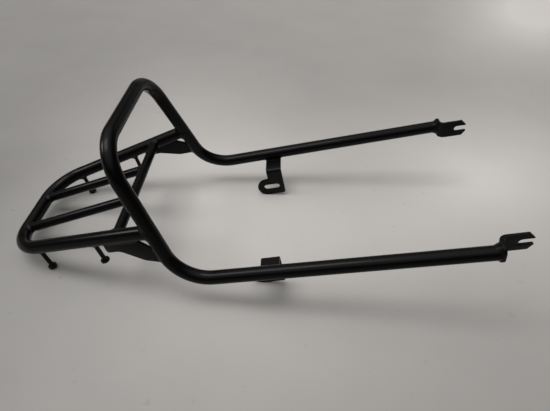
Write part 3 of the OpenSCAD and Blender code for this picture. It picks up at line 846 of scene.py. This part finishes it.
def bar_top_bead(seed):
    """Bead along the arm's inner side, on top of the bar. It spreads over the bar, and
    past the bar's edges it runs on a little and clings to the arm alone."""
    past_rear, past_front, toe_angle = 3.4, 3.0, 29.0
    on_bar, off_bar, fade = 6.2, 1.6, 1.6
    x = np.linspace(rear_x - past_rear, front_x + past_front, 120)
    grow = taper(len(x)) * uneven_leg(1.0, len(x), seed)

    def on_arm_skin(degrees):
        a = np.radians(degrees) + 0 * x
        return arm_middle(x) - TUBE_R * np.stack([0 * x, np.sin(a), np.cos(a)], axis=1)

    base = math.degrees(math.acos(-tab_top / TUBE_R))
    root = on_arm_skin(base)
    toe_a = on_arm_skin(base + toe_angle * grow)
    beyond = np.clip(np.maximum(rear_x + 0.6 - x, x - front_x + 0.6) / fade, 0.0, 1.0)
    toe_b = root - (grow * (on_bar + (off_bar - on_bar) * beyond))[:, None] * (0.0, 1.0, 0.0)
    out = np.broadcast_to((0.0, -1.0, 0.25), root.shape)
    sink = np.broadcast_to((0.0, 0.25, -1.0), root.shape)
    return bead_grid(root, toe_a, toe_b, out, False, seed + 1.0, sink_b=sink)


two_sides("bead_tab", "weld_tab", lambda seed: [bar_end_bead(seed), bar_top_bead(seed + 1.0)], False)
print("beads in all:", len(PIECES["welds"]))

# %% [markdown]
# ## Pegs
#
# The pegs hold elastic straps. Each is a turned pin with a head, so it is a profile spun
# round its axis. The head's edges are rounded, a small fillet leads from the shaft to
# the head, and the top ring is laid a little inside the side tube, under the weld.

# %% Turned pegs
# Fillet under the head, rounding of its edges, and the flat in the middle of its face
PEG_FILLET_R, PEG_EDGE_R, PEG_FLAT_R = 0.8, 1.15 * PEG_BEVEL, 4.0
PEG_SHAFT_RING = 25.0
PEG_COLS = 56


def peg_grid(x):
    """Rings of a peg at x along the side tube, from inside the tube down to the head. The
    profile holds the radius and the depth below the side tube's centre line."""
    top = on_rail(x)
    neck, head, r = PEG_LENGTH - PEG_HEAD_T, PEG_EDGE_R, PEG_FILLET_R
    a = np.radians(np.linspace(0.0, 90.0, 7))
    fillet = np.stack([PEG_R + r * (1 - np.cos(a)), neck - r + r * np.sin(a)], axis=1)
    upper = np.stack([PEG_HEAD_R - head + head * np.sin(a), neck + head - head * np.cos(a)], axis=1)
    lower = np.stack([PEG_HEAD_R - head + head * np.cos(a), PEG_LENGTH - head + head * np.sin(a)], axis=1)
    crown = [(PEG_FLAT_R, PEG_LENGTH), (0.0, PEG_LENGTH)]
    profile = np.vstack([[(PEG_R, PEG_SHAFT_RING)], fillet, upper, lower, crown])
    turn = np.linspace(0.0, 2 * np.pi, PEG_COLS, endpoint=False)
    ring = np.stack([np.cos(turn), np.sin(turn), 0 * turn], axis=1)
    rings = top + profile[:, :1, None] * ring[None] - profile[:, 1:, None] * np.array((0.0, 0.0, 1.0))
    seat = meet(top + PEG_R * ring, np.array((0.0, 0.0, -1.0)), DECK_LINE, TUBE_R - 0.5)
    middle = np.broadcast_to(seat.mean(axis=0), seat.shape)
    return np.concatenate([middle[None], seat[None], rings])


for where_peg, back in PEG_BACK.items():
    for side, sign in SIDES:
        grid_piece(f"peg_pin_{where_peg}_{side}", [peg_grid(-back) * (1.0, sign, 1.0)],
                   [f"peg_{where_peg}_{side}"], "pegs", close_rows=False)
print("pieces of the scene:", sum(len(pieces) for pieces in PIECES.values()))

# %% [markdown]
# ## Coats
#
# Powder coat is plastic melted onto the steel. It is nearly black, satin rather than
# glossy, and never quite smooth: it sets with a fine skin like orange peel, so that a
# highlight along a tube has soft and slightly broken edges. A single roughness would look
# like plastic wrap. Here noise in Object coordinates moves the roughness a little in
# patches as wide as a hand, a fine noise gives the skin as bump, and a thin veil of dust
# lightens the sides that face up.

# %% Node helpers
def add_node(tree, kind, x, y, **values):
    """A shader node at x, y with the given socket values set by name."""
    node = tree.nodes.new(kind)
    node.location = (x, y)
    for name, value in values.items():
        node.inputs[name.replace("_", " ")].default_value = value
    return node


def maths(tree, operation, values, x, y):
    """Math node whose inputs are sockets to link or plain numbers."""
    node = tree.nodes.new("ShaderNodeMath")
    node.operation, node.location = operation, (x, y)
    for socket, value in zip(node.inputs, values):
        if isinstance(value, bpy.types.NodeSocket):
            tree.links.new(value, socket)
        else:
            socket.default_value = value
    return node.outputs[0]


def noise(tree, coords, scale, detail, x, y):
    """Noise over the object's own coordinates, in metres."""
    node = add_node(tree, "ShaderNodeTexNoise", x, y, Scale=scale, Detail=detail, Roughness=0.55)
    tree.links.new(coords, node.inputs["Vector"])
    return node.outputs["Fac"]


def ramp(tree, value, stops, x, y):
    """Colour ramp with (position, colour) stops."""
    node = tree.nodes.new("ShaderNodeValToRGB")
    node.location = (x, y)
    elements = node.color_ramp.elements
    while len(elements) < len(stops):
        elements.new(0.5)
    for element, (place, colour) in zip(elements, stops):
        element.position, element.color = place, (*colour, 1.0)
    tree.links.new(value, node.inputs["Fac"])
    return node.outputs["Color"]


def spread(tree, value, low, high, x, y, start=0.3, end=0.7):
    """Maps value from start..end to low..high."""
    node = tree.nodes.new("ShaderNodeMapRange")
    node.location = (x, y)
    for name, number in (("From Min", start), ("From Max", end), ("To Min", low), ("To Max", high)):
        node.inputs[name].default_value = number
    tree.links.new(value, node.inputs["Value"])
    return node.outputs["Result"]


# %% Powder coat
PATCH_SCALE, SPECK_SCALE, SKIN_SCALE = 9.0, 420.0, 900.0
DUST_COLOUR, DUST_SHARE = (0.022, 0.021, 0.020, 1.0), 0.18


def powder_coat(name, shade, gloss, skin=0.035, shift=0.0):
    """Satin black coat. shade is its colour's level, gloss its lowest and highest
    roughness, skin the depth of the orange peel in millimetres, and shift moves the
    noises, so that no two coats repeat each other."""
    material = bpy.data.materials.new(name)
    material.use_nodes = True
    tree = material.node_tree
    shader = tree.nodes["Principled BSDF"]
    shader.inputs["IOR"].default_value = 1.5
    shader.inputs["Specular IOR Level"].default_value = 0.12
    where = tree.nodes.new("ShaderNodeTexCoord")
    where.location = (-1500, 0)
    moved = add_node(tree, "ShaderNodeMapping", -1300, 0, Location=(shift, shift * 0.7, shift * 1.3))
    tree.links.new(where.outputs["Object"], moved.inputs["Vector"])
    coords = moved.outputs["Vector"]

    patches = noise(tree, coords, PATCH_SCALE, 3.0, -1050, 300)
    specks = noise(tree, coords, SPECK_SCALE, 2.0, -1050, 60)
    coat = ramp(tree, patches, [(0.3, (shade * 0.86, shade * 0.86, shade * 0.88)),
                                (0.7, (shade * 1.12, shade * 1.11, shade * 1.10))], -800, 400)
    facing = tree.nodes.new("ShaderNodeSeparateXYZ")
    facing.location = (-1050, 560)
    tree.links.new(where.outputs["Normal"], facing.inputs["Vector"])
    upward = spread(tree, facing.outputs["Z"], 0.0, 1.0, -800, 620, 0.35, 1.0)
    dust = spread(tree, specks, 0.0, DUST_SHARE, -800, 160, 0.42, 0.72)
    settled = maths(tree, "MULTIPLY", (upward, dust), -600, 560)
    veil = tree.nodes.new("ShaderNodeMix")
    veil.data_type, veil.location = "RGBA", (-380, 420)
    tree.links.new(settled, veil.inputs["Factor"])
    tree.links.new(coat, veil.inputs["A"])
    veil.inputs["B"].default_value = DUST_COLOUR
    tree.links.new(veil.outputs["Result"], shader.inputs["Base Color"])
    tree.links.new(spread(tree, patches, gloss[0], gloss[1], -380, 160), shader.inputs["Roughness"])

    skin_noise = noise(tree, coords, SKIN_SCALE, 3.0, -1050, -220)
    bump = add_node(tree, "ShaderNodeBump", -380, -160, Strength=0.07, Distance=skin * MM)
    tree.links.new(skin_noise, bump.inputs["Height"])
    tree.links.new(bump.outputs["Normal"], shader.inputs["Normal"])
    return material


SLOT_COATS = {
    "hoop": powder_coat("satin_coat_hoop", 0.0030, (0.17, 0.25)),
    "deck": powder_coat("satin_coat_deck", 0.0029, (0.18, 0.26), shift=3.1),
    "rods": powder_coat("satin_coat_rods", 0.0028, (0.18, 0.27), shift=5.7),
    "gussets": powder_coat("satin_coat_gussets", 0.0034, (0.27, 0.36), shift=8.2),
    "forks": powder_coat("satin_coat_forks", 0.0034, (0.26, 0.35), shift=11.9),
    "tabs": powder_coat("satin_coat_tabs", 0.0034, (0.26, 0.35), shift=14.4),
    "pegs": powder_coat("satin_coat_pegs", 0.0032, (0.24, 0.33), shift=17.3),
    "welds": powder_coat("satin_coat_welds", 0.0034, (0.32, 0.44), skin=0.12, shift=21.0),
}
print("coats:", sorted(SLOT_COATS))

# %% Dress every piece
for slot, coat in SLOT_COATS.items():
    for piece in PIECES[slot]:
        piece.data.materials.append(coat)

# %% [markdown]
# ## Floor
#
# The rack lies on a large sheet of warm grey paper with faint clouds and small scuffs,
# which are painted into the floor's own colour. The light on the sheet is uneven, and
# that light and shade is painted into the colour too, by place on the ground, so the
# lamps can stay plain. A painted light pool is an ellipse whose share fades smoothly
# from its middle to its rim, so a few of them add up to any soft unevenness of light.
# An image would do it too, but six numbers per pool are easier to change: where its
# middle is, how far it reaches along its two axes, how it is turned, and how much
# lighter or darker it is; a darker one is painted shade.

# %% Floor sheet
FLOOR_HALF = 12.0
FLOOR_BASE = 0.60
# Middle, reach, turn in radians and share of each pool of painted light; a negative share is painted shade
PAINTED_LIGHT_POOLS = [((-0.564, 0.089), (4.000, 2.445), -0.803, -0.380),
         ((-0.103, 0.101), (0.574, 0.937), 0.235, 0.382),
         ((0.490, 0.185), (0.538, 0.903), 2.056, 0.424),
         ((1.212, 1.489), (1.186, 0.526), -2.107, 0.658)]
floor_mesh = bpy.data.meshes.new("floor_sheet")
floor_corners = [(FLOOR_HALF * x, FLOOR_HALF * y, 0.0) for x, y in ((-1, -1), (1, -1), (1, 1), (-1, 1))]
floor_mesh.from_pydata(floor_corners, [], [(0, 1, 2, 3)])
floor = bpy.data.objects.new("floor_sheet", floor_mesh)
bpy.context.scene.collection.objects.link(floor)
floor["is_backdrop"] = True


def painted_pool_share(tree, coords, centre, radii, turn, y):
    """1 in the middle of a turned ellipse, fading to 0 at its rim: the share of a painted light pool."""
    pool = add_node(tree, "ShaderNodeMapping", -1100, y)
    pool.vector_type = "TEXTURE"
    pool.inputs["Location"].default_value = (*centre, 0.0)
    pool.inputs["Rotation"].default_value = (0.0, 0.0, turn)
    pool.inputs["Scale"].default_value = (*radii, 1.0)
    tree.links.new(coords, pool.inputs["Vector"])
    fade = add_node(tree, "ShaderNodeTexGradient", -900, y)
    fade.gradient_type = "QUADRATIC_SPHERE"
    tree.links.new(pool.outputs["Vector"], fade.inputs["Vector"])
    return fade.outputs["Fac"]


# %% Floor paint
sheet = bpy.data.materials.new("warm_grey_sheet")
sheet.use_nodes = True
tree = sheet.node_tree
shader = tree.nodes["Principled BSDF"]
shader.inputs["Roughness"].default_value = 0.72
shader.inputs["Specular IOR Level"].default_value = 0.2
ground = add_node(tree, "ShaderNodeTexCoord", -1300, 0).outputs["Object"]
clouds = noise(tree, ground, 5.0, 4.0, -900, -260)
clouds = spread(tree, clouds, FLOOR_BASE - 0.015, FLOOR_BASE + 0.015, -700, -260)
scuffs = noise(tree, ground, 46.0, 2.0, -900, -440)
scuffs = spread(tree, scuffs, 0.0, -0.05, -700, -440, 0.68, 0.76)
level = maths(tree, "ADD", (clouds, scuffs), -600, 0)
# Painted light pools and painted shade, added to the floor's colour by place on the ground
for row, (centre, radii, turn, share) in enumerate(PAINTED_LIGHT_POOLS):
    inside = painted_pool_share(tree, ground, centre, radii, turn, 320 - 180 * row)
    level = maths(tree, "MULTIPLY_ADD", (inside, share, level), -500 + 150 * row, 120)
grey = ramp(tree, level, [(0.0, (0.0, 0.0, 0.0)), (1.0, (1.0, 0.967, 0.93))], 200, 120)
tree.links.new(grey, shader.inputs["Base Color"])
floor_mesh.materials.append(sheet)
print("pools on the floor:", len(PAINTED_LIGHT_POOLS))

# %% [markdown]
# ## Light
#
# A black satin tube shows little but reflections, so where its lines of light lie tells
# where the lamps were. The arms carry one soft line along their tops that ends two
# thirds of the way out: a soft box hangs above, to the left. The lines on the deck come
# from a smaller lamp further down at the left, and the hoop's top mirrors a dim panel at
# the back. The room is a dome that is bright overhead and dark low down, which is why the
# sides that face the camera stay black. The lamps can't be seen directly.

# %% Lamps
def soft_box(name, place, aim, size, power, roll=0.0):
    """Rectangular area lamp at place that shines at aim, rolled by degrees about its beam."""
    lamp = bpy.data.lights.new(name, "AREA")
    lamp.shape, lamp.size, lamp.size_y, lamp.energy = "RECTANGLE", *size, power
    obj = bpy.data.objects.new(name, lamp)
    aimed = (Vector(aim) - Vector(place)).to_track_quat("-Z", "Y").to_matrix()
    rolled = aimed @ Matrix.Rotation(math.radians(roll), 3, "Z")
    obj.matrix_world = Matrix.Translation(place) @ rolled.to_4x4()
    obj.visible_camera = False
    bpy.context.scene.collection.objects.link(obj)


# Each lamp's place and aim, its width and height, and its power in watts
soft_box("top_strip", (-0.68, -0.12, 1.75), (-0.45, -0.08, 0.0), (1.12, 0.66), 10.5, roll=90.0)
soft_box("left_lamp", (-1.05, -0.02, 0.65), (-0.3, -0.02, 0.12), (0.28, 0.26), 1.9)
soft_box("back_panel", (0.3, 2.7, 1.0), (0.0, 0.0, 0.1), (3.2, 1.3), 3.6)

# %% World
# The dome's strength rises from its low level to its high one as a direction's cosine
# with DOME_UP goes from the first value of DOME_COSINE to the second
DOME_LOW, DOME_HIGH, DOME_COSINE, DOME_UP = 0.03, 1.25, (0.52, 1.0), (-0.2, 0.0, 0.98)
BACKDROP = (0.36, 0.352, 0.338, 1.0)

world = bpy.data.worlds.new("room")
bpy.context.scene.world = world
world.use_nodes = True
tree = world.node_tree
dome = tree.nodes["Background"]
dome.inputs["Color"].default_value = (1.0, 0.99, 0.975, 1.0)
look = add_node(tree, "ShaderNodeTexCoord", -900, 0)
lean = tree.nodes.new("ShaderNodeVectorMath")
lean.operation, lean.location = "DOT_PRODUCT", (-700, 0)
tree.links.new(look.outputs["Generated"], lean.inputs[0])
lean.inputs[1].default_value = DOME_UP
strength = spread(tree, lean.outputs["Value"], DOME_LOW, DOME_HIGH, -500, 0, *DOME_COSINE)
tree.links.new(strength, dome.inputs["Strength"])
backdrop = add_node(tree, "ShaderNodeBackground", -200, -200, Color=BACKDROP, Strength=1.0)
seen = add_node(tree, "ShaderNodeLightPath", -200, 300)
either = add_node(tree, "ShaderNodeMixShader", 100, 0)
tree.links.new(seen.outputs["Is Camera Ray"], either.inputs["Fac"])
tree.links.new(dome.outputs["Background"], either.inputs[1])
tree.links.new(backdrop.outputs["Background"], either.inputs[2])
tree.links.new(either.outputs["Shader"], tree.nodes["World Output"].inputs["Surface"])
bpy.context.scene.view_settings.view_transform = "Standard"
print("lamps:", len(bpy.data.lights))

# %% [markdown]
# ## Camera
#
# The place, the tilt and the lens were worked out from the corners of the rack in the
# photograph. The camera stands on the rack's right, looks down on it and is rolled by
# almost three degrees. Three unit vectors say all of that at once: to the right of the
# picture, up in it, and forward.

# %% Camera
CAMERA_PLACE = (0.032854, -0.554310, 0.566481)
camera_data = bpy.data.cameras.new("camera")
camera_data.sensor_fit, camera_data.sensor_width, camera_data.lens = "HORIZONTAL", 36.0, 27.49
camera = bpy.data.objects.new("camera", camera_data)
right = Vector((0.99919133, 0.01678591, 0.03653652))
up = Vector((-0.03841563, 0.66682782, 0.744221))
turned = Matrix((right, up, right.cross(up))).transposed().to_4x4()
camera.matrix_world = Matrix.Translation(CAMERA_PLACE) @ turned
bpy.context.scene.collection.objects.link(camera)
bpy.context.scene.camera = camera

# %% Sizes, and the last line
plain = lambda box: [[float(v) for v in corner] for corner in box]
{"cad": plain(cad_box), "visual": plain(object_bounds())}
